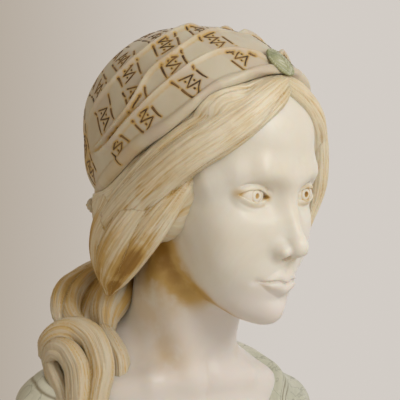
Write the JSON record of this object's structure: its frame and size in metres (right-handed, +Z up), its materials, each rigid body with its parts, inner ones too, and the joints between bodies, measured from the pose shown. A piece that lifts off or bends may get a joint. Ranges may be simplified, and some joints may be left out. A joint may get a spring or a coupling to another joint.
{
  "type": "marble bust",
  "caption": "Marble bust of a young woman in a headscarf, light stone head on a draped grey-green bodice, standing on a turned socle and square plinth.",
  "frame": {"origin": "middle of the felt's underside, on the axis of the tie rod, where the bust rests on its surface", "axes": "+Z up; the chest faces -Y; the sitter's left is +X; the head is turned 20 degrees towards +X and bowed 8 degrees"},
  "size_m": [0.2584, 0.2034, 0.5509],
  "materials": {
    "light_stone": "polished translucent alabaster-white marble, ivory with amber in the hollows",
    "hair_stone": "the same light stone, honed and toned amber, with tooled strands",
    "scarf_stone": "the same light stone, honed, with cut and brown-stained marks in bands",
    "green_marble": "polished grey-green veined marble",
    "brooch_stone": "dull green hardstone with dark veins",
    "steel": "plain steel",
    "lead": "dull grey lead",
    "felt": "dark green wool felt"
  },
  "bodies": {
    "root": {"base_felt": "felt", "bodice": "green_marble", "brooch": "brooch_stone", "collar": "light_stone", "hair_left": "hair_stone", "hair_right": "hair_stone", "hair_tail": "hair_stone", "head_block": "light_stone", "headscarf": "scarf_stone", "neck_dowel_left": "steel", "neck_dowel_right": "steel", "plinth": "green_marble", "scarf_knot": "scarf_stone", "socle": "green_marble", "socle_dowel": "lead", "tie_nut": "steel", "tie_rod": "steel", "tie_washer": "steel"}
  },
  "joints": []
}
